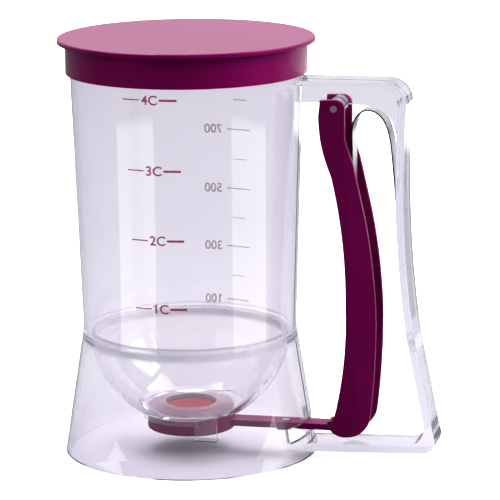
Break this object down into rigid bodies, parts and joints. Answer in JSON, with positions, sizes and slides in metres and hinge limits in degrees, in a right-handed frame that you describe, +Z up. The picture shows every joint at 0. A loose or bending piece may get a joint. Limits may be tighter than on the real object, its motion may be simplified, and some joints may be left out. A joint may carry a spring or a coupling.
{
  "type": "pancake batter dispenser",
  "caption": "Clear measuring container with a round bowl, a sliding valve under its outlet, a press-on lid and a squeezed lever in its side handle.",
  "frame": {"origin": "middle of the whole object's footprint, on the table; the container's axis is 27.4 mm from it towards -X", "axes": "+X from the container towards the handle, +Z up, the handle lies in the XZ plane"},
  "size_m": [0.1674, 0.1124, 0.1843],
  "materials": {
    "clear_shell": "polished clear",
    "clear_bowl": "polished clear",
    "clear_skirt": "polished clear",
    "clear_handle": "polished clear",
    "clear_hooks": "polished clear",
    "wine_lid": "satin moulded",
    "wine_lever": "satin moulded",
    "wine_valve": "satin moulded",
    "red_seal": "soft silicone",
    "steel_spring": "rolled strip",
    "steel_pins": "rolled strip"
  },
  "bodies": {
    "frame": {"container_shell": "clear_shell", "funnel_bowl": "clear_bowl", "base_skirt": "clear_skirt", "handle_frame": "clear_handle", "guide_hooks": "clear_hooks", "pivot_pin": "steel_pins", "return_spring": "steel_spring"},
    "lid": {"lid_cap": "wine_lid"},
    "lever": {"trigger_lever": "wine_lever"},
    "valve": {"valve_cup": "wine_valve", "valve_seal": "red_seal", "drive_link": "wine_valve", "stem_pin": "steel_pins", "link_pin": "steel_pins"}
  },
  "joints": [
    {"name": "lid_lift", "type": "slide", "parent": "frame", "child": "lid", "axis": [0, 0, 1], "range_m": [0, 0.06]},
    {"name": "lever_squeeze", "type": "hinge", "parent": "frame", "child": "lever", "pos_m": [0.0396, 0, 0.1554], "axis": [0, -1, 0], "range_deg": [0, 7], "stiffness_Nm_per_rad": 6, "springref_deg": -4.58, "deforming": ["return_spring"]},
    {"name": "valve_slide", "type": "slide", "parent": "frame", "child": "valve", "axis": [1, 0, 0], "range_m": [0, 0.0172]}
  ],
  "couplings": [
    {"joint": "valve_slide", "follows": "lever_squeeze", "m_per_rad": 0.1398}
  ]
}
